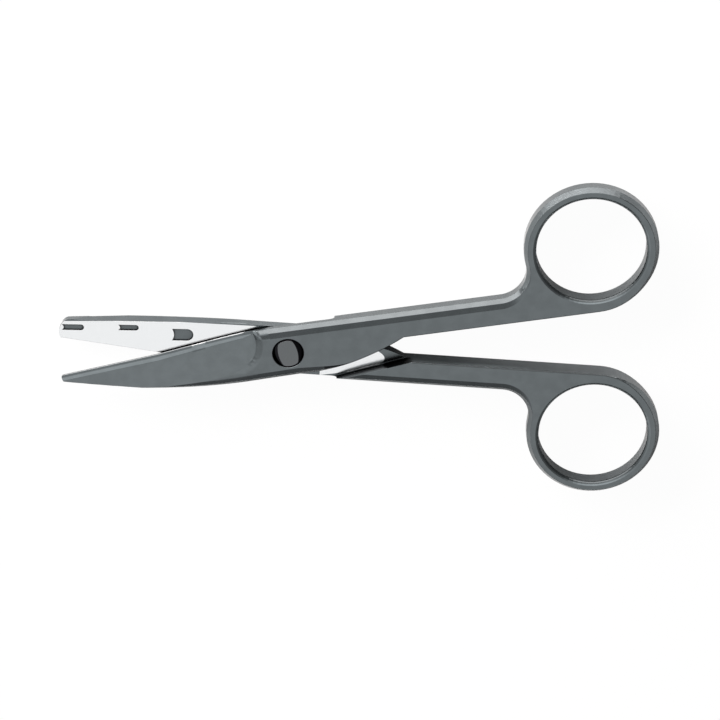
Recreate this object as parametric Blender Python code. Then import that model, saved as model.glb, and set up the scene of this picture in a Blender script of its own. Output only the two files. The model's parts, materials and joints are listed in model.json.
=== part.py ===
import math

import bmesh
import bpy
from mathutils import Matrix, Vector

# All sizes are in millimetres and all angles in degrees; MM turns them into metres.
MM = 0.001

# Closed, the two halves mirror each other across the long axis, which is X.
# The pivot is at X 0, the blades point to -X and the finger rings lie at +X.
THICKNESS = 5.2
GROUND_GAP = 0.3
REST_OPENING = 12.4

# Plan of one half, measured from the pivot and from the closing line
HALF_WIDTH = 6.4
SHANK_INSET = 0.22
BLADE_LENGTH = 54.3
EDGE_START = 4.0
EDGE_START_PULL = 4.0
EDGE_MIDDLE = 31.0
EDGE_MIDDLE_HEIGHT = 3.15
EDGE_TIP_HEIGHT = 0.95
TIP_SETBACK = 0.4

# Spine of the blade and the lap's lower side
SPINE_DEPTH = 6.2
SPINE_FULL = 11.0
LAP_SIDE_END = 6.5
LAP_PULL = (18.7, -4.4)
HEEL_REACH = 27.6

# Sharp point: its depth below the closing line, where the spine bows towards, and
# how far its belly hangs below the spine's depth
SHARP_POINT_DEPTH = 0.5
SHARP_SPINE_PULL = 28.0
SHARP_BELLY = 0.35
SHARP_POINT_BULGE = 0.35

# Blunt point
BLUNT_POINT_DEPTH = 3.9
BLUNT_SPINE_PULL = 22.0
BLUNT_POINT_ROUND = 2.7
BLUNT_POINT_BULGE = 0.55

# Finger ring
RING_REACH = 74.2
RING_HOLE_RADIUS = 13.0
RING_BAND = 2.9
RING_HOLE_SHIFT = 0.1
RING_FILLET = 7.0
RING_HOLE_BEVEL_WIDTH = 0.8
RING_HOLE_BEVEL_HEIGHT = 0.9
RING_HOLE_BEVEL_DROP = 0.5

# Edge facets as (width, height): a steep one beside the wall, a shallow one beside the flat
SHANK_STEEP = (0.85, 0.90)
SHANK_SHALLOW = (1.30, 0.45)
RING_STEEP = (0.85, 1.27)
RING_SHALLOW = (0.10, 0.08)
INNER_STEEP = (0.12, 0.14)
INNER_SHALLOW = (0.10, 0.05)
SPINE_DRAFT = 0.7

# How the facets fade: the share left, and from where to where it fades
EDGE_FACET_LEFT = 0.07
EDGE_FADE = (5.0, 13.0)
SPINE_FACET_LEFT = 0.15
SPINE_FADE = (5.0, 46.0)
LAP_FADE = (3.0, 15.0)
POINT_DRAFT_LEFT = 0.45
SHARP_DRAFT_LEFT = 0.1
DRAFT_FADE = (30.0, 54.0)
HEEL_DRAFT_START = 20.0

# Half-lap shoulder on the ground side
SHOULDER_OUTER_X = 12.0
SHOULDER_INNER_X = 29.4
SHOULDER_FILLET = 0.45

# Blade grinding: a tilted facet with a rounded run-out, and a bevel to the cutting
# edge that is hollow, so it is steeper beside the facet
FACET_EDGE_THICKNESS = 1.05
FACET_SLOPE = 0.205
BEVEL_WIDTH = 1.3
BEVEL_HOLLOW_START = 0.65
BEVEL_HOLLOW_HEIGHT = 0.3
EDGE_LAND = 0.1
RUNOUT_X = 13.1
RUNOUT_Y = 3.3
RUNOUT_RADIUS = 7.5
RUNOUT_RAMP = 1.6
RUNOUT_ARC = (-70.0, 35.0)
BEVEL_EXIT = (4.2, 9.0)
BEVEL_EXIT_RISE = 2.2

# Joint screw
SCREW_HEAD_RADIUS = 3.4
SCREW_SHANK_RADIUS = 2.2
SCREW_LAND_WIDTH = 2.25
SCREW_LAND_LENGTH = 4.3
SCREW_LAND_TURN = 12.0
SCREW_EDGE_CHAMFER = 0.12
SCREW_RELIEF_SLOPE = 0.6
SCREW_PROUD = 0.1
SCREW_HEAD_THICKNESS = 1.6
SCREW_END_CHAMFER = 0.2
SEAT_CLEARANCE = 0.3
SEAT_CHAMFER = 0.12
THREAD_CLEARANCE = 0.15

# Shallow pockets in the blunt blade's ground face: distance from the pivot to
# the notched end, length, distance below the closing line, width
POCKETS = (
    (53.7, 5.2, 1.70, 1.45),
    (40.4, 4.8, 2.55, 1.40),
    (27.6, 5.0, 1.60, 3.00),
)
POCKET_DEPTH = 0.3
POCKET_NOTCH = 0.45
POCKET_TILT = -3.0

# Widest angle of one segment on a round, and how far cutters pass the metal
ARC_STEP = 5.0
OVERCUT = 1.0

HALF_THICKNESS = THICKNESS / 2
FLOOR = GROUND_GAP / 2
RING_RADIUS = RING_HOLE_RADIUS + RING_BAND
RING_CENTRE_Y = RING_RADIUS + SHANK_INSET
FAR_END = BLADE_LENGTH + 4 * OVERCUT


def clear_scene():
    for obj in list(bpy.data.objects):
        bpy.data.objects.remove(obj, do_unlink=True)


def make_material(name, colour, roughness, metallic):
    material = bpy.data.materials.new(name)
    material.use_nodes = True
    shader = material.node_tree.nodes["Principled BSDF"]
    shader.inputs["Base Color"].default_value = (*colour, 1.0)
    shader.inputs["Roughness"].default_value = roughness
    shader.inputs["Metallic"].default_value = metallic
    return material


def coated_steel():
    return make_material("coated_steel", (0.13, 0.135, 0.14), 0.38, 0.85)


def black_steel():
    return make_material("black_steel", (0.02, 0.02, 0.022), 0.22, 0.6)


def on_circle(centre, radius, angle):
    turn = math.radians(angle)
    return (
        centre[0] + radius * math.cos(turn),
        centre[1] + radius * math.sin(turn),
    )


def arc(centre, radius, start, end, step=ARC_STEP):
    count = max(2, math.ceil(abs(end - start) / step))
    turns = [start + (end - start) * i / count for i in range(count + 1)]
    return [on_circle(centre, radius, turn) for turn in turns]


def straight(first, last, count):
    return [blend(first, last, i / count) for i in range(count + 1)]


def bow(first, control, last, count):
    # Quadratic curve from first to last, pulled towards control
    points = []
    for i in range(count + 1):
        t = i / count
        points.append(blend(blend(first, control, t), blend(control, last, t), t))
    return points


def blend(first, second, t):
    return tuple(a + (b - a) * t for a, b in zip(first, second))


def scaled(settings, factor):
    return tuple(value * factor for value in settings)


def fade(value, start, end, left=0.0):
    # 1 up to start, falling to the share left at end, eased between them
    t = min(1.0, max(0.0, (value - start) / (end - start)))
    return 1 - (1 - left) * t * t * (3 - 2 * t)


# Settings of an outline point: the steep and the shallow facet, then the wall's draft
INNER = (*INNER_STEEP, *INNER_SHALLOW, 0.0)
OUTER = (*SHANK_STEEP, *SHANK_SHALLOW, 0.0)
RING = (*RING_STEEP, *RING_SHALLOW, 0.0)
SPINE = (*SHANK_STEEP, *SHANK_SHALLOW, SPINE_DRAFT)


def inner_side():
    first = (HEEL_REACH, SHANK_INSET)
    last = (RING_REACH, SHANK_INSET)
    return [(point, INNER) for point in straight(first, last, 9)[:-1]]


def ring_side():
    # Round the ring, then through the hollow between the ring and the shank
    rise = RING_CENTRE_Y - HALF_WIDTH - RING_FILLET
    reach = RING_RADIUS + RING_FILLET
    meet = math.degrees(math.asin(rise / reach))
    start, end = -90.0, 180.0 + meet
    outer = arc((RING_REACH, RING_CENTRE_Y), RING_RADIUS, start, end)
    marked = []
    for i, point in enumerate(outer):
        angle = start + (end - start) * i / (len(outer) - 1)
        marked.append((point, blend(RING, INNER, fade(angle, start + 5, start + 55))))
    hub = (RING_REACH - math.sqrt(reach**2 - rise**2), HALF_WIDTH + RING_FILLET)
    hollow = arc(hub, RING_FILLET, meet, -90)[1:]
    for i, point in enumerate(hollow):
        marked.append((point, blend(OUTER, RING, fade(i, 0, len(hollow) - 1))))
    return marked


def outer_side():
    ring_end = ring_side()[-1][0]
    edge_end = (-EDGE_START, HALF_WIDTH)
    return [(point, OUTER) for point in straight(ring_end, edge_end, 8)[1:-1]]


def cutting_edge():
    heel = (-EDGE_START, HALF_WIDTH)
    pull = (-EDGE_START - EDGE_START_PULL, HALF_WIDTH)
    middle = (-EDGE_MIDDLE, EDGE_MIDDLE_HEIGHT)
    tip = (TIP_SETBACK - BLADE_LENGTH, EDGE_TIP_HEIGHT)
    return bow(heel, pull, middle, 10) + straight(middle, tip, 6)[1:]


def edge_side():
    return [
        (point, scaled(OUTER, fade(-point[0], *EDGE_FADE, EDGE_FACET_LEFT)))
        for point in cutting_edge()
    ]


def sharp_point():
    # From the cutting edge round the point to the start of the spine
    low = (TIP_SETBACK - BLADE_LENGTH, -SHARP_POINT_DEPTH)
    nose = (-BLADE_LENGTH - SHARP_POINT_BULGE, EDGE_TIP_HEIGHT - TIP_SETBACK)
    return bow(cutting_edge()[-1], nose, low, 4)[1:]


def blunt_point():
    spine = (BLUNT_POINT_ROUND - BLADE_LENGTH, -BLUNT_POINT_DEPTH)
    turn = (
        BLUNT_POINT_BULGE - BLADE_LENGTH,
        BLUNT_POINT_BULGE * BLUNT_POINT_ROUND - BLUNT_POINT_DEPTH,
    )
    nose = (-BLADE_LENGTH - BLUNT_POINT_BULGE, (EDGE_TIP_HEIGHT + turn[1]) / 2)
    corner = (turn[0] + TIP_SETBACK, -BLUNT_POINT_DEPTH)
    return bow(cutting_edge()[-1], nose, turn, 5)[1:] + bow(turn, corner, spine, 4)[1:]


def point_outline(blunt):
    return blunt_point() if blunt else sharp_point()


def spine_outline(blunt):
    start = point_outline(blunt)[-1]
    belly = -SPINE_DEPTH - (0 if blunt else SHARP_BELLY)
    pull = (-BLUNT_SPINE_PULL if blunt else -SHARP_SPINE_PULL, belly)
    full = (-SPINE_FULL, belly)
    side_end = (LAP_SIDE_END, -SPINE_DEPTH)
    points = bow(start, pull, full, 12)[1:]
    points += straight(full, side_end, 4)[1:]
    points += bow(side_end, LAP_PULL, (HEEL_REACH, SHANK_INSET), 12)[1:-1]
    return points


def spine_side(blunt):
    marked = []
    for point in spine_outline(blunt):
        forward, back = -point[0], point[0]
        spine = scaled(SPINE, fade(forward, *SPINE_FADE, SPINE_FACET_LEFT))
        settings = blend(INNER, spine, fade(back, *LAP_FADE))
        left = POINT_DRAFT_LEFT if blunt else SHARP_DRAFT_LEFT
        draft = SPINE_DRAFT * fade(forward, *DRAFT_FADE, left)
        draft *= fade(back, HEEL_DRAFT_START, HEEL_REACH)
        marked.append((point, (*settings[:-1], draft)))
    return marked


def half_outline(blunt):
    # Counter-clockwise, each point with its edge settings
    tip = scaled(OUTER, EDGE_FACET_LEFT)
    marked = inner_side() + ring_side() + outer_side() + edge_side()
    marked += [(point, tip) for point in point_outline(blunt)]
    return marked + spine_side(blunt)


def inward(points, i):
    before, here, after = points[i - 1], points[i], points[(i + 1) % len(points)]
    one = (Vector(here) - Vector(before)).normalized()
    two = (Vector(after) - Vector(here)).normalized()
    normal = Vector((-one.y - two.y, one.x + two.x)).normalized()
    return normal / max(0.5, normal.dot(Vector((-one.y, one.x))))


def new_object(name, shape, material=None):
    quads = [face for face in shape.faces if len(face.verts) == 4]
    bmesh.ops.triangulate(shape, faces=quads)
    bmesh.ops.recalc_face_normals(shape, faces=shape.faces)
    bmesh.ops.scale(shape, vec=(MM, MM, MM), verts=shape.verts)
    mesh = bpy.data.meshes.new(name)
    shape.to_mesh(mesh)
    shape.free()
    obj = bpy.data.objects.new(name, mesh)
    bpy.context.scene.collection.objects.link(obj)
    if material:
        mesh.materials.append(material)
    return obj


def stacked(loops):
    # A closed body through loops of equally many points, capped at both ends
    shape = bmesh.new()
    rows = [[shape.verts.new(point) for point in loop] for loop in loops]
    count = len(rows[0])
    for low, high in zip(rows, rows[1:]):
        for i in range(count):
            j = (i + 1) % count
            shape.faces.new((low[i], low[j], high[j], high[i]))
    shape.faces.new(list(reversed(rows[0])))
    shape.faces.new(rows[-1])
    return shape


def half_body(blunt):
    # Lower facets, the wall with its draft at mid height, upper facets
    marked = half_outline(blunt)
    points = [point for point, _ in marked]
    normals = [inward(points, i) for i in range(len(points))]

    def loop(inset, height):
        result = []
        for (point, settings), normal in zip(marked, normals):
            x, y = Vector(point) + normal * inset(*settings)
            result.append((x, y, height(*settings)))
        return result

    upper = [
        loop(lambda w, h, w2, h2, d: 0, lambda w, h, w2, h2, d: HALF_THICKNESS - h - h2),
        loop(lambda w, h, w2, h2, d: w, lambda w, h, w2, h2, d: HALF_THICKNESS - h2),
        loop(lambda w, h, w2, h2, d: w + w2, lambda w, h, w2, h2, d: HALF_THICKNESS),
    ]
    lower = [[(x, y, -z) for x, y, z in row] for row in reversed(upper)]
    middle = [loop(lambda w, h, w2, h2, d: d, lambda w, h, w2, h2, d: 0)]
    return stacked(lower + middle + upper)


def lathe(profile, steps=48):
    # Profile of (radius, height) pairs from the axis round to the axis
    shape = bmesh.new()
    rings = []
    for radius, height in profile:
        if radius == 0:
            rings.append([shape.verts.new((0, 0, height))])
            continue
        circle = [on_circle((0, 0), radius, 360 * i / steps) for i in range(steps)]
        rings.append([shape.verts.new((x, y, height)) for x, y in circle])
    for low, high in zip(rings, rings[1:]):
        for i in range(steps):
            j = (i + 1) % steps
            corners = []
            for ring, k in ((low, i), (low, j), (high, j), (high, i)):
                vert = ring[k % len(ring)]
                if vert not in corners:
                    corners.append(vert)
            shape.faces.new(corners)
    return shape


def cut(body, shape, name):
    cutter = new_object(f"{body.name}_{name}_cutter", shape)
    cutter.parent = body
    cutter.hide_render = True
    cutter.display_type = "WIRE"
    modifier = body.modifiers.new(name, "BOOLEAN")
    modifier.operation = "DIFFERENCE"
    modifier.solver = "EXACT"
    modifier.object = cutter
    return cutter


def ring_hole_shape():
    # A straight hole whose rims curve out to a crisp line on each flat
    wide = RING_HOLE_RADIUS + RING_HOLE_BEVEL_WIDTH
    above = HALF_THICKNESS + OVERCUT
    curve = bow(
        (RING_HOLE_RADIUS, HALF_THICKNESS - RING_HOLE_BEVEL_HEIGHT),
        (RING_HOLE_RADIUS, HALF_THICKNESS - RING_HOLE_BEVEL_DROP),
        (wide, HALF_THICKNESS),
        4,
    )
    top = curve + [(wide + OVERCUT, above), (0, above)]
    profile = [(radius, -height) for radius, height in reversed(top)] + top
    shape = lathe(profile, 72)
    centre = (RING_REACH, RING_CENTRE_Y + RING_HOLE_SHIFT, 0)
    bmesh.ops.translate(shape, vec=centre, verts=shape.verts)
    return shape


def recess_shape():
    # Everything on the ground side, from the point back to the shoulder line
    outer = Vector((SHOULDER_OUTER_X, HALF_WIDTH))
    inner = Vector((SHOULDER_INNER_X, SHANK_INSET))
    along = (inner - outer).normalized()
    back = Vector((along.y, -along.x))
    first = outer - along * 4 * OVERCUT
    last = inner + along * 9 * OVERCUT
    below = -SPINE_DEPTH - 2 * OVERCUT

    def loop(inset, height):
        one = first + back * inset
        two = last + back * inset
        plan = [(-FAR_END, one.y), (-FAR_END, below), (two.x, below), two, one]
        return [(x, y, height) for x, y in plan]

    fillet = bow((0, FLOOR - 2 * SHOULDER_FILLET), (0, FLOOR), (SHOULDER_FILLET, FLOOR), 3)
    rows = [loop(0, -HALF_THICKNESS - OVERCUT)]
    rows += [loop(inset, height) for inset, height in fillet]
    return stacked(rows)


def low_line_distance(x, y):
    # Distance from the lower border of the edge bevel, towards the spine
    points = cutting_edge()
    start, end = Vector(points[-1]), Vector((-EDGE_START, HALF_WIDTH))
    middle = Vector((-EDGE_MIDDLE, EDGE_MIDDLE_HEIGHT))
    along = (end - start).normalized()
    away = Vector((along.y, -along.x))
    belly = (middle - start).dot(away)
    return (Vector((x, y)) - start).dot(away) - belly / 2 - BEVEL_WIDTH


def facet_shape():
    reach = max(HALF_WIDTH, SPINE_DEPTH) + 2 * OVERCUT
    centre = (-RUNOUT_X, RUNOUT_Y)

    def plan(shrink):
        end = arc(centre, RUNOUT_RADIUS - shrink, *RUNOUT_ARC, 2 * ARC_STEP)
        # The border leaves the arc along its tangent, down to the spine
        turn = math.radians(RUNOUT_ARC[0] - 90)
        drop = (end[0][1] + reach) / -math.sin(turn)
        low = (end[0][0] + math.cos(turn) * drop, -reach)
        return [(-FAR_END, -reach), low, *end, (end[-1][0], reach), (-FAR_END, reach)]

    floor = [
        (x, y, FACET_EDGE_THICKNESS + FACET_SLOPE * low_line_distance(x, y))
        for x, y in plan(RUNOUT_RAMP)
    ]
    above = HALF_THICKNESS + OVERCUT
    top = [
        (x, y, max(HALF_THICKNESS, low + OVERCUT / 5))
        for (x, y), (_, _, low) in zip(plan(0), floor)
    ]
    lid = [(x, y, above + 2 * OVERCUT) for x, y in plan(0)]
    return stacked([floor, top, lid])


def bevel_shape():
    # Swept along the cutting edge; it rises out of the joint at the heel
    points = cutting_edge()
    beyond = blend(points[-2], points[-1], 2)
    line = points + [beyond]
    low = FLOOR + EDGE_LAND
    low_slope = BEVEL_HOLLOW_HEIGHT / BEVEL_HOLLOW_START
    high_slope = (FACET_EDGE_THICKNESS - low - BEVEL_HOLLOW_HEIGHT) / (
        BEVEL_WIDTH - BEVEL_HOLLOW_START
    )
    profile = [
        (-OVERCUT, low - low_slope * OVERCUT),
        (BEVEL_HOLLOW_START, low + BEVEL_HOLLOW_HEIGHT),
        (BEVEL_WIDTH + OVERCUT, FACET_EDGE_THICKNESS + high_slope * OVERCUT),
    ]
    lid = HALF_THICKNESS + BEVEL_EXIT_RISE + OVERCUT
    rows = []
    for i, point in enumerate(line):
        ahead = Vector(line[min(i + 1, len(line) - 1)])
        behind = Vector(line[max(i - 1, 0)])
        along = (ahead - behind).normalized()
        normal = Vector((-along.y, along.x))
        rise = BEVEL_EXIT_RISE * fade(-point[0], *BEVEL_EXIT)
        row = []
        for offset, height in profile:
            x, y = Vector(point) + normal * offset
            row.append((x, y, height + rise))
        rows.append(row + [(x, y, lid) for x, y, _ in reversed(row)])
    return stacked(rows)


def bore_shape():
    radius = SCREW_SHANK_RADIUS + THREAD_CLEARANCE
    reach = HALF_THICKNESS + OVERCUT
    return lathe([(0, -reach), (radius, -reach), (radius, reach), (0, reach)])


def seat_shape():
    bottom = HALF_THICKNESS + SCREW_PROUD - SCREW_HEAD_THICKNESS - SEAT_CLEARANCE
    wide = SCREW_HEAD_RADIUS + SEAT_CLEARANCE
    narrow = SCREW_SHANK_RADIUS + SEAT_CLEARANCE
    rim = wide + 2 * SEAT_CHAMFER
    profile = [
        (0, -OVERCUT),
        (narrow, -OVERCUT),
        (narrow, bottom),
        (wide, bottom),
        (wide, HALF_THICKNESS - SEAT_CHAMFER),
        (rim, HALF_THICKNESS + SEAT_CHAMFER),
        (rim, HALF_THICKNESS + OVERCUT),
        (0, HALF_THICKNESS + OVERCUT),
    ]
    return lathe(profile, 64)


def pocket_shape(reach, length, below, width):
    # Round at the joint end, notched at the point end
    radius = width / 2
    round_end = arc((length - radius, 0), radius, -90, 90, 3 * ARC_STEP)
    notch = bow((0, radius), (2 * POCKET_NOTCH, 0), (0, -radius), 6)
    plan = round_end + notch
    low = [(x, y, FLOOR - OVERCUT) for x, y in plan]
    high = [(x, y, FLOOR + POCKET_DEPTH) for x, y in plan]
    shape = stacked([low, high])
    turn = Matrix.Rotation(math.radians(POCKET_TILT), 4, "Z")
    place = Matrix.Translation((-reach, -below, 0))
    bmesh.ops.transform(shape, matrix=place @ turn, verts=shape.verts)
    return shape


def make_half(name, blunt, material):
    body = new_object(name, half_body(blunt), material)
    cut(body, ring_hole_shape(), "ring_hole")
    cut(body, recess_shape(), "recess")
    cut(body, facet_shape(), "facet")
    cut(body, bevel_shape(), "bevel")
    return body


def make_front_half(material):
    body = make_half("front_half", False, material)
    cut(body, seat_shape(), "seat")
    body.location.z = HALF_THICKNESS * MM
    body.rotation_euler.z = math.radians(REST_OPENING / 2)
    return body


def make_rear_half(material):
    body = make_half("rear_half", True, material)
    cut(body, bore_shape(), "bore")
    for i, pocket in enumerate(POCKETS):
        cut(body, pocket_shape(*pocket), f"pocket_{i + 1}")
    body.location.z = HALF_THICKNESS * MM
    body.rotation_euler = (math.pi, 0, math.radians(-REST_OPENING / 2))
    return body


def make_screw(material):
    # A flush land runs across the head, and the head falls away at both sides of it
    top = HALF_THICKNESS + SCREW_PROUD
    under = top - SCREW_HEAD_THICKNESS
    end = -HALF_THICKNESS
    count = 64
    angles = [2 * math.pi * i / count for i in range(count)]
    turn = math.radians(SCREW_LAND_TURN)

    def circle(radius, height):
        return [(radius * math.cos(a), radius * math.sin(a), height) for a in angles]

    rim, land = [], []
    for angle in angles:
        across = math.cos(angle - turn) / SCREW_LAND_WIDTH
        length = math.sin(angle - turn) / SCREW_LAND_LENGTH
        reach = min(1 / math.hypot(across, length), SCREW_HEAD_RADIUS - SCREW_EDGE_CHAMFER)
        drop = max(SCREW_EDGE_CHAMFER, SCREW_RELIEF_SLOPE * (SCREW_HEAD_RADIUS - reach))
        x, y = math.cos(angle), math.sin(angle)
        rim.append((SCREW_HEAD_RADIUS * x, SCREW_HEAD_RADIUS * y, top - drop))
        land.append((reach * x, reach * y, top))
    rows = [
        circle(SCREW_SHANK_RADIUS - SCREW_END_CHAMFER, end),
        circle(SCREW_SHANK_RADIUS, end + SCREW_END_CHAMFER),
        circle(SCREW_SHANK_RADIUS, under),
        circle(SCREW_HEAD_RADIUS, under),
        rim,
        land,
    ]
    screw = new_object("pivot_screw", stacked(rows), material)
    screw.location.z = HALF_THICKNESS * MM
    return screw


def main():
    clear_scene()
    coated = coated_steel()
    make_front_half(coated)
    make_rear_half(coated)
    make_screw(black_steel())


main()
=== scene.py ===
import json
import math

import bpy
from mathutils import Matrix, Vector


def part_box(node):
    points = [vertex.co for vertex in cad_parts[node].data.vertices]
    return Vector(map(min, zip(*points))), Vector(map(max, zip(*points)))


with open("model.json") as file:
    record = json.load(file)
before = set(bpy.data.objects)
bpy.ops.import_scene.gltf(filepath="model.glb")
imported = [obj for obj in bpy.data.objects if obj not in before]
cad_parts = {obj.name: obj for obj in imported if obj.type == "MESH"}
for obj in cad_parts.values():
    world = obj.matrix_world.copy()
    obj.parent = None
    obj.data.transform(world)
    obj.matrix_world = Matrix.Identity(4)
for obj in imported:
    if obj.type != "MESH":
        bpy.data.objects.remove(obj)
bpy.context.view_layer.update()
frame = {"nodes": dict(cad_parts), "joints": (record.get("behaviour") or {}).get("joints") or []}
print("frame loaded")

mm = 0.001
raySamples = 8  # for rounded edges and shaded creases
sharpAngle = 16  # degrees, smoother edges than this are shaded smooth
closedAngle = frame["joints"][0]["range_deg"][0]  # the pivot's lower limit, where the blades meet
thickness = (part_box("front_half")[1].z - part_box("front_half")[0].z) / mm
middle = thickness / 2


# small node helpers

def plug(tree, socket, value):
    if isinstance(value, bpy.types.NodeSocket):
        tree.links.new(value, socket)
    else:
        socket.default_value = value


def addNode(tree, kind, inputs=None, **settings):
    node = tree.nodes.new(kind)
    for name, value in settings.items():
        setattr(node, name, value)
    for name, value in (inputs or {}).items():
        plug(tree, node.inputs[name], value)
    return node


def calc(tree, operation, *values):
    node = addNode(tree, "ShaderNodeMath", operation=operation)
    for socket, value in zip(node.inputs, values):
        plug(tree, socket, value)
    return node.outputs[0]


def times(tree, first, *others):
    product = first
    for value in others:
        product = calc(tree, "MULTIPLY", product, value)
    return product


def above(tree, value, limit):
    return calc(tree, "GREATER_THAN", value, limit)


def below(tree, value, limit):
    return calc(tree, "LESS_THAN", value, limit)


def inRange(tree, value, low, high):
    return times(tree, above(tree, value, low), below(tree, value, high))


def slope(tree, x, start, rise):
    # the height of a straight line at x, which is at start where x is 0
    return calc(tree, "MULTIPLY_ADD", x, rise, start)


def distance(tree, x, y, centre):
    alongX = calc(tree, "POWER", calc(tree, "SUBTRACT", x, centre[0]), 2.0)
    alongY = calc(tree, "POWER", calc(tree, "SUBTRACT", y, centre[1]), 2.0)
    return calc(tree, "SQRT", calc(tree, "ADD", alongX, alongY))


def ramp(tree, value, low, high, toLow=0.0, toHigh=1.0):
    # eased step from toLow to toHigh as value goes from low to high
    node = addNode(
        tree,
        "ShaderNodeMapRange",
        {
            "Value": value,
            "From Min": low,
            "From Max": high,
            "To Min": toLow,
            "To Max": toHigh,
        },
        interpolation_type="SMOOTHSTEP",
    )
    return node.outputs["Result"]


def mixColour(tree, factor, first, second):
    node = addNode(tree, "ShaderNodeMix", data_type="RGBA")
    plug(tree, node.inputs[0], factor)
    plug(tree, node.inputs[6], first)
    plug(tree, node.inputs[7], second)
    return node.outputs[2]


def mixValue(tree, factor, first, second):
    node = addNode(tree, "ShaderNodeMix", data_type="FLOAT")
    plug(tree, node.inputs[0], factor)
    plug(tree, node.inputs[2], first)
    plug(tree, node.inputs[3], second)
    return node.outputs[0]


def toneWhere(tree, mask, tone):
    # the tone inside the mask, and no change outside it
    return mixValue(tree, mask, 1.0, tone)


def shaded(tree, colour, tone):
    node = addNode(tree, "ShaderNodeVectorMath", operation="SCALE")
    plug(tree, node.inputs[0], colour[:3])
    plug(tree, node.inputs["Scale"], tone)
    return node.outputs[0]


def noise(tree, vector, scale, detail, roughness):
    node = addNode(
        tree,
        "ShaderNodeTexNoise",
        {"Vector": vector, "Scale": scale, "Detail": detail, "Roughness": roughness},
    )
    return node.outputs["Fac"]


def openness(tree, reach, ownOnly=False):
    # 1 where no wall stands within reach, less in a corner
    node = addNode(
        tree,
        "ShaderNodeAmbientOcclusion",
        {"Distance": reach * mm},
        samples=raySamples,
        only_local=ownOnly,
    )
    return node.outputs["AO"]


def roundedEdges(tree, radius):
    return addNode(
        tree, "ShaderNodeBevel", {"Radius": radius}, samples=raySamples
    ).outputs["Normal"]


def newMaterial(name):
    material = bpy.data.materials.new(name)
    material.use_nodes = True
    return material, material.node_tree, material.node_tree.nodes["Principled BSDF"]


# both halves: a dark satin coating over forged steel, the inner faces and the edge ground bright
# lengths and places are in millimetres, in the frame that inClosedFrame gives
# a fade is where it starts and ends, and its value at the start and the end
# a noise is its scale, detail and roughness
# a shade or tone multiplies the coating's colour

halves = {
    "coating": (0.140, 0.157, 0.164, 1.0),
    "coatingRoughness": 0.20,
    "roughnessSpread": 0.03,
    "cloudNoise": (0.35, 3.0, 0.5),
    "cloudFade": (0.3, 0.7, 0.95, 1.05),
    "fineNoise": (9.0, 4.0, 0.5),
    "fineRange": (0.3, 0.7),
    "steel": (0.895, 0.91, 0.92, 1.0),
    "steelRoughness": 0.17,
    "grindStretch": (9.0, 0.25, 0.25),  # the grinding lines run across the blade
    "grindNoise": (1.0, 4.0, 0.6),
    "grindFade": (0.25, 0.75, 0.97, 1.02),
    "bumpStrength": 0.06,
    "bumpDepth": 0.02,
    "edgeRound": 0.10,
    # painted shade in creases, corners and the gap between the halves, each fade by how open the
    # place is
    "creaseReach": 2.2,
    "creaseShadeFade": (0.0, 0.75, 0.25, 1.0),
    "cornerReach": 4.0,
    "cornerShadeFade": (0.64, 0.92, 0.03, 1.0),
    "steelCornerShadeFade": (0.51, 0.68, 0.04, 1.0),
    "gapReach": 0.7,
    "gapShadeFade": (0.85, 0.98, 0.02, 1.0),
    # ground floor of the recess
    "groundHeight": 0.15,
    "groundSpread": 0.03,
    "groundEnd": 23.0,
    "groundEndBlur": 0.06,
    "groundNose": 1.0,  # how far out its rounded end is centred
    "groundNoseCurve": 0.51,
    "bossReach": (-7.2, 7.95),
    "spineLines": [(-7.217, -0.0732), (-5.429, -0.0143)],  # height at the joint, rise
    # honed strip along the cutting edge, its low and high border at both ends of its reach
    "honedReach": (-21.0, -8.5),
    "honedLow": (0.275, 0.195),
    "honedHigh": (0.315, 0.33),
    "honedSide": (4.5, 0.1),  # the line that it lies outside of: height at the joint, rise
    "honedEndFade": (-10.0, -8.5, 1.0, 0.0),
    # the line beneath the strip, darkened with painted shadow between the blades
    "underEdgeStart": 0.155,
    "underEdgeShade": 0.02,
    # the blade's facet and its run-out
    "facetTilt": (0.972, 0.988),  # how much its normal points up
    "facetLineFade": (0.975, 0.9985, 1.0, 0.0),
    "facetLineShade": 0.62,
    "runOutCentre": (-13.1, 3.3),
    "runOutReach": (6.2, 9.4),
    "runOutRound": 0.65,
    # spots of painted highlight beside it: centre, reach, tone
    "paintedHighlights": [
        ((-7.1, 5.6), 0.8, 1.8),
        ((-6.4, 4.75), 0.8, 1.8),
        ((-8.6, -0.9), 0.8, 1.2),
    ],
    "highlightCore": 0.3,  # share of the reach with the full tone
    # finger hole: painted shade and highlight on its rim, and its wall lightened with painted
    # light
    "ringCentre": (74.2, 16.12),
    "rimRadius": 13.9,
    "rimFade": (-9.0, 9.0, 0.7, 1.8),
    "rimTopFade": (-9.0, 9.0, 1.3, 1.7),
    "rimTopDepth": 0.22,
    "rimDepth": 0.9,
    "holeWallTone": 1.15,
    # shank's inner edge, darkened with painted shade, and its wall, lightened with painted
    # reflection
    "lapEnd": 29.4,
    "innerSide": 1.0,
    "flatSkin": 0.005,  # what still counts as the flat face
    "innerEdgeDepth": 0.18,
    "innerEdgeShade": 0.35,
    "innerWallFade": (45.0, 62.0, 2.6, 1.15),
    "innerWallHeights": (-2.55, -0.3),
    # shade at the lap's shoulder and in the fork behind it
    "shoulderFade": (28.2, 30.2, 1.0, 0.0),
    "shoulderHeights": (-2.2, 0.12),
    "shoulderSide": 3.2,
    "shoulderShade": 0.06,
    "forkStart": 0.2,
    "forkFade": (25.0, 34.0, 0.3, 1.0),
}


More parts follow.
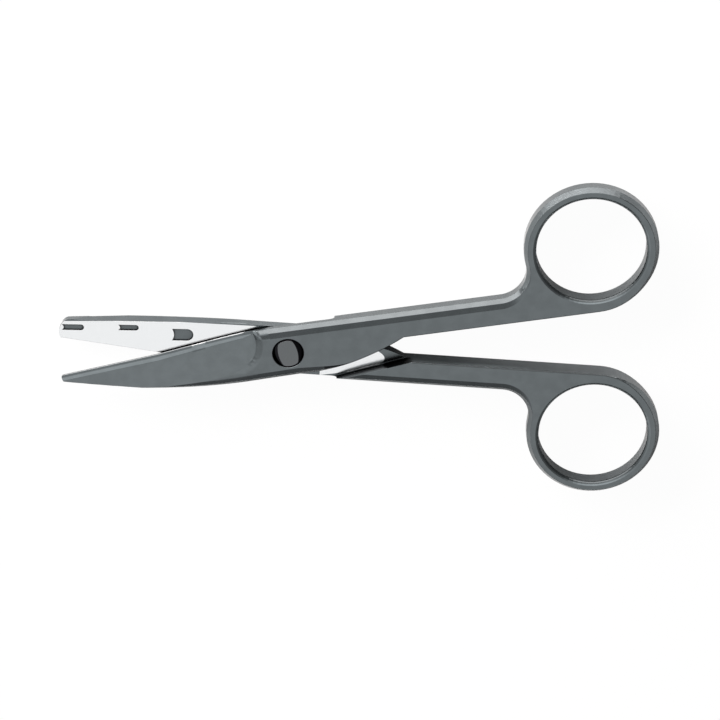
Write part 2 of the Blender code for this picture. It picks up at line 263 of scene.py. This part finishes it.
def inClosedFrame(tree, side):
    # x along the closed scissors from the pivot to the rings, y outwards, ground side at -z
    point = addNode(tree, "ShaderNodeTexCoord").outputs["Object"]
    turn = math.radians(closedAngle / 2)
    flip = math.pi if side == "rear" else 0.0
    place = addNode(
        tree,
        "ShaderNodeMapping",
        {
            "Vector": point,
            "Scale": (1 / mm, 1 / mm, 1 / mm),
            "Rotation": (flip, 0.0, turn),
            "Location": (0.0, 0.0, middle if side == "rear" else -middle),
        },
    )
    return place.outputs["Vector"]


def groundMask(tree, x, y, z):
    # the recess floor from the joint's boss to its rounded end at the heel
    look = halves
    height, spread = look["groundHeight"], look["groundSpread"]
    flat = inRange(tree, z, height - spread, height + spread)
    bow = calc(tree, "POWER", calc(tree, "SUBTRACT", y, look["groundNose"]), 2.0)
    nose = calc(tree, "MULTIPLY_ADD", bow, look["groundNoseCurve"], x)
    end, blur = look["groundEnd"], look["groundEndBlur"]
    beforeEnd = ramp(tree, nose, end - blur, end + blur, 1.0, 0.0)
    onBlade = below(tree, x, look["bossReach"][0])
    onShank = above(tree, x, look["bossReach"][1])
    offBoss = calc(tree, "MAXIMUM", onBlade, onShank)
    # and up to two straight lines along the spine
    spine = [slope(tree, x, start, rise) for start, rise in look["spineLines"]]
    offSpine = above(tree, y, calc(tree, "MAXIMUM", *spine))
    return times(tree, flat, beforeEnd, offBoss, offSpine)


def honedMask(tree, x, y, z):
    # the narrow bright strip along the cutting edge, and the line beneath it darkened with
    # painted shadow
    look = halves
    low = ramp(tree, x, *look["honedReach"], *look["honedLow"])
    high = ramp(tree, x, *look["honedReach"], *look["honedHigh"])
    onEdge = above(tree, y, slope(tree, x, *look["honedSide"]))
    blade = times(tree, onEdge, ramp(tree, x, *look["honedEndFade"]))
    strip = times(tree, inRange(tree, z, low, high), blade)
    under = times(tree, inRange(tree, z, look["underEdgeStart"], low), blade)
    return strip, under


def rimPaintedLight(tree, x, y, z, side):
    # painted shade and highlight on the finger hole's rim, darker on its -Y side and lighter on
    # its +Y side, and painted light on the wall inside
    look = halves
    outwards = 1.0 if side == "front" else -1.0  # the rear half's own y runs towards -Y
    inside = below(tree, distance(tree, x, y, look["ringCentre"]), look["rimRadius"])
    offMiddle = calc(tree, "ABSOLUTE", z)
    offFlat = below(tree, offMiddle, middle - look["flatSkin"])
    height = times(tree, calc(tree, "SUBTRACT", y, look["ringCentre"][1]), outwards)
    nearTop = above(tree, offMiddle, middle - look["rimTopDepth"])
    low = ramp(tree, height, *look["rimFade"])
    high = ramp(tree, height, *look["rimTopFade"])
    rim = mixValue(tree, nearTop, low, high)
    onWall = below(tree, offMiddle, middle - look["rimDepth"])
    tone = mixValue(tree, onWall, rim, look["holeWallTone"])
    return toneWhere(tree, times(tree, inside, offFlat), tone)


def paintedInnerShankLight(tree, x, y, z):
    # painted shade on the shank's inner edge, and painted reflection on its wall, lighter towards
    # the ground side
    look = halves
    offMiddle = calc(tree, "ABSOLUTE", z)
    inner = times(tree, above(tree, x, look["lapEnd"]), below(tree, y, look["innerSide"]))
    nearTop = above(tree, offMiddle, middle - look["innerEdgeDepth"])
    offFlat = below(tree, offMiddle, middle - look["flatSkin"])
    edgeShade = toneWhere(tree, times(tree, inner, nearTop, offFlat), look["innerEdgeShade"])
    onWall = times(tree, inner, calc(tree, "SUBTRACT", 1.0, nearTop))
    most = ramp(tree, x, *look["innerWallFade"])
    lighter = ramp(tree, z, *look["innerWallHeights"], most, 1.0)
    return times(tree, edgeShade, toneWhere(tree, onWall, lighter))


def paintedHighlightTone(tree, x, y):
    # painted highlight where the run-out meets the bevels
    tones = []
    for centre, reach, lift in halves["paintedHighlights"]:
        core = reach * halves["highlightCore"]
        tones.append(ramp(tree, distance(tree, x, y, centre), core, reach, lift, 1.0))
    return times(tree, *tones)


def shadeTone(tree, x, y, z):
    # the lap's shoulder and the fork behind it lie in the other half's shade
    look = halves
    shoulder = times(
        tree,
        above(tree, x, look["groundEnd"]),
        ramp(tree, x, *look["shoulderFade"]),
        inRange(tree, z, *look["shoulderHeights"]),
        below(tree, y, look["shoulderSide"]),
    )
    fork = times(
        tree,
        above(tree, x, look["bossReach"][1]),
        inRange(tree, z, look["forkStart"], middle),
        below(tree, y, look["innerSide"]),
    )
    shoulderTone = toneWhere(tree, shoulder, look["shoulderShade"])
    forkTone = toneWhere(tree, fork, ramp(tree, x, *look["forkFade"]))
    return times(tree, shoulderTone, forkTone)


def facetLineTone(tree, rounded, inRunOut):
    # a fine dark line where the blade's ground facet meets its bevels
    look = halves
    true = addNode(tree, "ShaderNodeNewGeometry").outputs["True Normal"]
    turned = addNode(tree, "ShaderNodeVectorMath", operation="DOT_PRODUCT")
    plug(tree, turned.inputs[0], rounded)
    plug(tree, turned.inputs[1], true)
    edge = ramp(tree, turned.outputs["Value"], *look["facetLineFade"])
    up = addNode(tree, "ShaderNodeSeparateXYZ", {"Vector": true}).outputs["Z"]
    facet = inRange(tree, calc(tree, "ABSOLUTE", up), *look["facetTilt"])
    line = times(tree, edge, facet, calc(tree, "SUBTRACT", 1.0, inRunOut))
    return toneWhere(tree, line, look["facetLineShade"])


def halfMaterial(side):
    look = halves
    material, tree, shader = newMaterial(f"{side}HalfSteel")
    place = inClosedFrame(tree, side)
    split = addNode(tree, "ShaderNodeSeparateXYZ", {"Vector": place})
    x, y, z = (split.outputs[name] for name in "XYZ")
    honed, under = honedMask(tree, x, y, z)
    bright = calc(tree, "MAXIMUM", groundMask(tree, x, y, z), honed)
    inRunOut = inRange(tree, distance(tree, x, y, look["runOutCentre"]), *look["runOutReach"])
    corner = openness(tree, look["cornerReach"], ownOnly=True)

    # edges that are rounded a little, and more where the facet runs out
    radius = mixValue(tree, inRunOut, look["edgeRound"] * mm, look["runOutRound"] * mm)
    rounded = roundedEdges(tree, radius)

    # clouded coating, with painted shade in the creases and in the run-out's corners, and the
    # painted light and shade of the tones below
    cloud = noise(tree, place, *look["cloudNoise"])
    tone = times(
        tree,
        ramp(tree, cloud, *look["cloudFade"]),
        ramp(tree, openness(tree, look["creaseReach"]), *look["creaseShadeFade"]),
        mixValue(tree, inRunOut, ramp(tree, corner, *look["cornerShadeFade"]), 1.0),
        paintedInnerShankLight(tree, x, y, z),
        rimPaintedLight(tree, x, y, z, side),
        toneWhere(tree, under, look["underEdgeShade"]),
        paintedHighlightTone(tree, x, y),
        shadeTone(tree, x, y, z),
        facetLineTone(tree, rounded, inRunOut),
    )
    coating = shaded(tree, look["coating"], tone)

    # bright steel with grinding lines, with painted shade where the other half lies close and in
    # the corners
    lines = addNode(tree, "ShaderNodeMapping", {"Vector": place, "Scale": look["grindStretch"]})
    grain = noise(tree, lines.outputs["Vector"], *look["grindNoise"])
    steelTone = times(
        tree,
        ramp(tree, grain, *look["grindFade"]),
        ramp(tree, openness(tree, look["gapReach"]), *look["gapShadeFade"]),
        ramp(tree, corner, *look["steelCornerShadeFade"]),
    )
    steel = shaded(tree, look["steel"], steelTone)
    plug(tree, shader.inputs["Base Color"], mixColour(tree, bright, coating, steel))

    # fine grain in the coating's gloss, and in the surface with the grinding lines
    fine = noise(tree, place, *look["fineNoise"])
    rough, spread = look["coatingRoughness"], look["roughnessSpread"]
    coatingRough = ramp(tree, fine, *look["fineRange"], rough - spread, rough + spread)
    rough = mixValue(tree, bright, coatingRough, look["steelRoughness"])
    plug(tree, shader.inputs["Roughness"], rough)
    shader.inputs["Metallic"].default_value = 1.0

    bump = addNode(
        tree,
        "ShaderNodeBump",
        {
            "Strength": look["bumpStrength"],
            "Distance": look["bumpDepth"] * mm,
            "Height": mixValue(tree, bright, fine, grain),
            "Normal": rounded,
        },
    )
    plug(tree, shader.inputs["Normal"], bump.outputs["Normal"])
    return material


# the joint screw: a satin land across a glossy black head

screw = {
    "land": (0.143, 0.152, 0.157, 1.0),
    "landRoughness": 0.20,
    "landDepth": 0.03,
    "landNoise": (9000.0, 4.0, 0.5),
    "landFade": (0.3, 0.7, 0.95, 1.05),
    "black": (0.016, 0.016, 0.018, 1.0),
    "blackRoughness": 0.10,
    "edgeRound": 0.06,
}


def screwMaterial():
    look = screw
    material, tree, shader = newMaterial("screwSteel")
    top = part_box("pivot_screw")[1].z
    depth = look["landDepth"] * mm
    point = addNode(tree, "ShaderNodeTexCoord").outputs["Object"]
    height = addNode(tree, "ShaderNodeSeparateXYZ", {"Vector": point}).outputs["Z"]
    land = above(tree, height, top - depth)
    end = below(tree, height, depth)
    flat = calc(tree, "MAXIMUM", land, end)
    grain = noise(tree, point, *look["landNoise"])
    satin = shaded(tree, look["land"], ramp(tree, grain, *look["landFade"]))
    plug(tree, shader.inputs["Base Color"], mixColour(tree, flat, look["black"], satin))
    rough = mixValue(tree, flat, look["blackRoughness"], look["landRoughness"])
    plug(tree, shader.inputs["Roughness"], rough)
    shader.inputs["Metallic"].default_value = 1.0
    plug(tree, shader.inputs["Normal"], roundedEdges(tree, look["edgeRound"] * mm))
    return material


def dress(node, material):
    obj = frame["nodes"][node]
    obj.data.materials.clear()
    obj.data.materials.append(material)
    obj.data.shade_smooth()
    obj.data.set_sharp_from_angle(angle=math.radians(sharpAngle))


dress("front_half", halfMaterial("front"))
dress("rear_half", halfMaterial("rear"))
dress("pivot_screw", screwMaterial())
print("steel dressed")


# floor, light and camera

floor = {
    "size": 4.0,
    "drop": 0.0002,
    "colour": (0.94, 0.94, 0.94, 1.0),
    "seenShare": 0.97,  # plain white in what the camera sees, so only a faint shadow stays
    "mirroredShare": 0.05,  # and in what the metal mirrors, so it mirrors the shadow too
}

# the room that the metal mirrors, by its tilt from straight up towards +Y (degrees, brightness)
room = {
    "tilts": [
        (-90, 0.18),
        (-62, 0.34),
        (-40, 1.05),
        (-26, 1.18),
        (-12, 1.38),
        (-4, 1.50),
        (2, 1.35),
        (8, 0.50),
        (12, 0.34),
        (16, 0.50),
        (21, 1.30),
        (27, 1.45),
        (38, 1.90),
        (48, 2.30),
        (56, 1.90),
        (62, 0.40),
        (75, 0.60),
        (90, 0.80),
    ],
    "towardsBlades": 0.95,  # brightness low down at -X
    "bladesFade": (-0.75, -0.35, 1.0, 0.0),
    "towardsRings": 0.28,  # and low down at +X
    "ringsFade": (0.2, 0.7, 0.0, 1.0),
    "soft": 0.20,  # what it gives to surfaces that don't mirror
    "seen": 1.0,  # plain white behind the floor
}

# lamps: where each stands (lean from straight up, compass turn, metres away), its width and
# height in metres, its brightness, and whether the metal mirrors it
lamps = {
    "softboxBehind": {
        "lean": 76.0,
        "round": 101.0,
        "away": 1.15,
        "size": (2.75, 0.62),
        "glow": 2.6,
        "colour": (1.07, 1.0, 0.98),
        "mirrored": True,
    },
    "stripBehind": {
        "lean": 77.0,
        "round": 138.0,
        "away": 1.15,
        "size": (1.50, 0.36),
        "glow": 46.0,
        "colour": (1.03, 1.0, 0.99),
        "mirrored": False,
    },
}


def makeFloor():
    look = floor
    size = look["size"] / 2
    mesh = bpy.data.meshes.new("floor")
    corners = [(-size, -size, 0), (size, -size, 0), (size, size, 0), (-size, size, 0)]
    mesh.from_pydata(corners, [], [(0, 1, 2, 3)])
    obj = bpy.data.objects.new("floor", mesh)
    obj.location.z = -look["drop"]
    bpy.context.scene.collection.objects.link(obj)
    material = bpy.data.materials.new("paleFloor")
    material.use_nodes = True
    tree = material.node_tree
    tree.nodes.clear()
    path = addNode(tree, "ShaderNodeLightPath").outputs
    seen = times(tree, path["Is Camera Ray"], look["seenShare"])
    mirrored = calc(tree, "MAXIMUM", path["Is Glossy Ray"], path["Is Transmission Ray"])
    share = calc(tree, "MULTIPLY_ADD", mirrored, look["mirroredShare"], seen)
    paint = addNode(tree, "ShaderNodeBsdfDiffuse", {"Color": look["colour"]})
    white = addNode(tree, "ShaderNodeEmission", {"Strength": 1.0})
    mix = addNode(tree, "ShaderNodeMixShader")
    plug(tree, mix.inputs[0], share)
    plug(tree, mix.inputs[1], paint.outputs[0])
    plug(tree, mix.inputs[2], white.outputs[0])
    out = addNode(tree, "ShaderNodeOutputMaterial")
    plug(tree, out.inputs["Surface"], mix.outputs[0])
    mesh.materials.append(material)


def makeRoom():
    look = room
    world = bpy.data.worlds.new("studio")
    world.use_nodes = True
    tree = world.node_tree
    tree.nodes.clear()
    way = addNode(tree, "ShaderNodeTexCoord").outputs["Generated"]
    split = addNode(tree, "ShaderNodeSeparateXYZ", {"Vector": way})
    tilt = calc(tree, "ARCTAN2", split.outputs["Y"], split.outputs["Z"])
    place = calc(tree, "MULTIPLY_ADD", tilt, 1 / math.pi, 0.5)  # 0 to 1 over half a turn
    strip = addNode(tree, "ShaderNodeValToRGB", {"Fac": place})
    brightest = max(glow for _, glow in look["tilts"])
    stops = strip.color_ramp.elements
    for degrees, glow in look["tilts"]:
        position = degrees / 180 + 0.5
        known = [stop for stop in stops if stop.position == position]
        stop = known[0] if known else stops.new(position)
        level = glow / brightest
        stop.color = (level, level, level, 1.0)
    glow = times(tree, strip.outputs["Color"], brightest)
    left = ramp(tree, split.outputs["X"], *look["bladesFade"])
    glow = mixValue(tree, left, glow, look["towardsBlades"])
    right = ramp(tree, split.outputs["X"], *look["ringsFade"])
    glow = mixValue(tree, right, glow, look["towardsRings"])
    path = addNode(tree, "ShaderNodeLightPath").outputs
    glow = mixValue(tree, path["Is Diffuse Ray"], glow, look["soft"])
    glow = mixValue(tree, path["Is Camera Ray"], glow, look["seen"])
    back = addNode(tree, "ShaderNodeBackground", {"Strength": glow})
    out = addNode(tree, "ShaderNodeOutputWorld")
    plug(tree, out.inputs["Surface"], back.outputs[0])
    bpy.context.scene.world = world


def makeLamp(name, look):
    # leans from straight up towards its compass direction, and faces the pivot
    lean, turn = math.radians(look["lean"]), math.radians(look["round"])
    across = math.sin(lean)
    out = Vector((across * math.cos(turn), across * math.sin(turn), math.cos(lean)))
    lamp = bpy.data.lights.new(name, "AREA")
    lamp.shape = "RECTANGLE"
    lamp.size, lamp.size_y = look["size"]
    lamp.energy = look["glow"] * math.pi * lamp.size * lamp.size_y
    lamp.color = look["colour"]
    obj = bpy.data.objects.new(name, lamp)
    side = Vector((-math.sin(turn), math.cos(turn), 0.0))
    place = Matrix((side, out.cross(side), out)).transposed().to_4x4()
    place.translation = out * look["away"]
    obj.matrix_world = place
    obj.visible_camera = False
    obj.visible_glossy = look["mirrored"]
    bpy.context.scene.collection.objects.link(obj)


# the camera leans away from straight down and is turned a little about the vertical
camera = {
    "lean": 26.0,
    "away": 1.070,
    "turn": 2.0,
    "pixelsPerMetre": 4220.0,
    "pivotPixel": (288.1, 348.7),
    "photoSize": 720,
    "sensor": 36.0,
}


def makeCamera():
    shot = camera
    lean = math.radians(shot["lean"])
    pivot = Vector((0, 0, middle * mm))
    centre = shot["photoSize"] / 2
    across = (centre - shot["pivotPixel"][0]) / shot["pixelsPerMetre"]
    down = (centre - shot["pivotPixel"][1]) / shot["pixelsPerMetre"]
    up = Vector((0, math.cos(lean), -math.sin(lean)))
    back = Vector((0, math.sin(lean), math.cos(lean)))
    turn = Matrix.Rotation(-math.radians(shot["turn"]), 3, "Z")
    eye = turn @ (back * shot["away"]) + pivot
    aim = turn @ (Vector((across, 0, 0)) - up * down) + pivot
    ahead = (aim - eye).normalized()
    side = ahead.cross(turn @ up).normalized()
    place = Matrix((side, side.cross(ahead), -ahead)).transposed().to_4x4()
    place.translation = eye
    lens = bpy.data.cameras.new("photoView")
    lens.sensor_width = shot["sensor"]
    lens.lens = shot["pixelsPerMetre"] * shot["away"] * shot["sensor"] / shot["photoSize"]
    obj = bpy.data.objects.new("photoView", lens)
    obj.matrix_world = place
    bpy.context.scene.collection.objects.link(obj)
    bpy.context.scene.camera = obj


makeFloor()
makeRoom()
for name, look in lamps.items():
    makeLamp(name, look)
makeCamera()
bpy.context.scene.view_settings.view_transform = "Standard"
print("floor, light and camera set")
